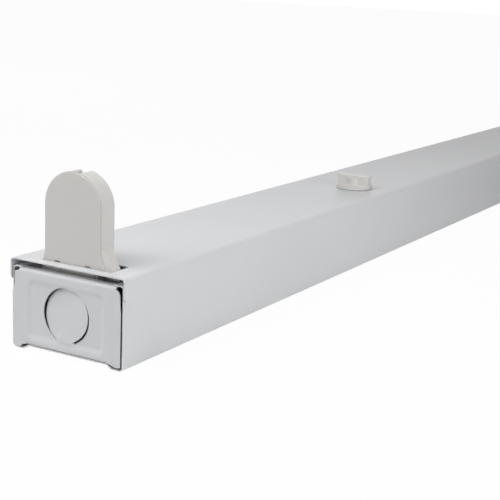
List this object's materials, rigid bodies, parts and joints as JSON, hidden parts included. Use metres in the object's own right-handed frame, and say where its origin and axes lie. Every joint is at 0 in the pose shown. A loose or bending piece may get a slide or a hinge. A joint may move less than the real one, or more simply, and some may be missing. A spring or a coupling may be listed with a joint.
{
  "type": "led tube light fixture",
  "caption": "Slim white steel batten with a lampholder at each end, knob-fastened cover, end plate knockouts and wiring inside, for an LED tube.",
  "frame": {"origin": "middle of the batten's back, on the plane of its feet", "axes": "+X along the batten towards its right end, +Z out of the back towards the lampholders, the pictured near end at -X"},
  "size_m": [1.228, 0.055, 0.0726],
  "materials": {
    "white_enamel": "satin white baked enamel on sheet steel",
    "zinc_steel": "bright zinc plated",
    "white_moulding": "satin off-white polycarbonate",
    "bronze": "phosphor bronze spring strip",
    "rotor_moulding": "satin off-white moulding",
    "block_plastic": "matte white polyamide",
    "brass": "turned brass",
    "brown_wire": "satin extruded insulation",
    "blue_wire": "satin extruded insulation",
    "green_yellow_wire": "satin extruded insulation, green and yellow",
    "clip_plastic": "matte natural nylon"
  },
  "bodies": {
    "channel": {"channel": "white_enamel", "end_plate_left": "white_enamel", "end_plate_right": "white_enamel", "end_rivets": "zinc_steel", "latch_bracket_left": "zinc_steel", "latch_bracket_right": "zinc_steel", "latch_studs": "zinc_steel", "holder_bracket_left": "zinc_steel", "holder_bracket_right": "zinc_steel", "lampholder_body_left": "white_moulding", "lampholder_body_right": "white_moulding", "lampholder_back_left": "white_moulding", "lampholder_back_right": "white_moulding", "lamp_contact_left": "bronze", "lamp_contact_right": "bronze", "terminal_block": "block_plastic", "terminal_clamps": "brass", "terminal_screws": "zinc_steel", "terminal_fixing_screws": "zinc_steel", "earth_stud": "brass", "earth_washer": "zinc_steel", "earth_ring": "brass", "earth_nut": "brass", "line_wire": "brown_wire", "neutral_wire": "blue_wire", "earth_wire": "green_yellow_wire", "wire_clips": "clip_plastic"},
    "cover": {"cover_panel": "white_enamel", "cover_flange_near": "white_enamel", "cover_flange_far": "white_enamel"},
    "knob_a": {"knob_left": "white_moulding", "knob_insert_left": "brass"},
    "knob_b": {"knob_right": "white_moulding", "knob_insert_right": "brass"},
    "rotor_a": {"rotor_left": "rotor_moulding"},
    "rotor_b": {"rotor_right": "rotor_moulding"}
  },
  "joints": [
    {"name": "cover_lift", "type": "slide", "parent": "channel", "child": "cover", "axis": [0, 0, 1], "range_m": [0, 0.06]},
    {"name": "knob_turn_left", "type": "hinge", "parent": "cover", "child": "knob_a", "pos_m": [-0.374, -0.008, 0.0394], "axis": [0, 0, 1], "continuous": true},
    {"name": "knob_turn_right", "type": "hinge", "parent": "cover", "child": "knob_b", "pos_m": [0.374, 0.008, 0.0394], "axis": [0, 0, 1], "continuous": true},
    {"name": "rotor_turn_left", "type": "hinge", "parent": "channel", "child": "rotor_a", "pos_m": [-0.60075, 0.001, 0.05895], "axis": [1, 0, 0], "range_deg": [0, 90]},
    {"name": "rotor_turn_right", "type": "hinge", "parent": "channel", "child": "rotor_b", "pos_m": [0.60075, -0.001, 0.05895], "axis": [-1, 0, 0], "range_deg": [0, 90]}
  ]
}
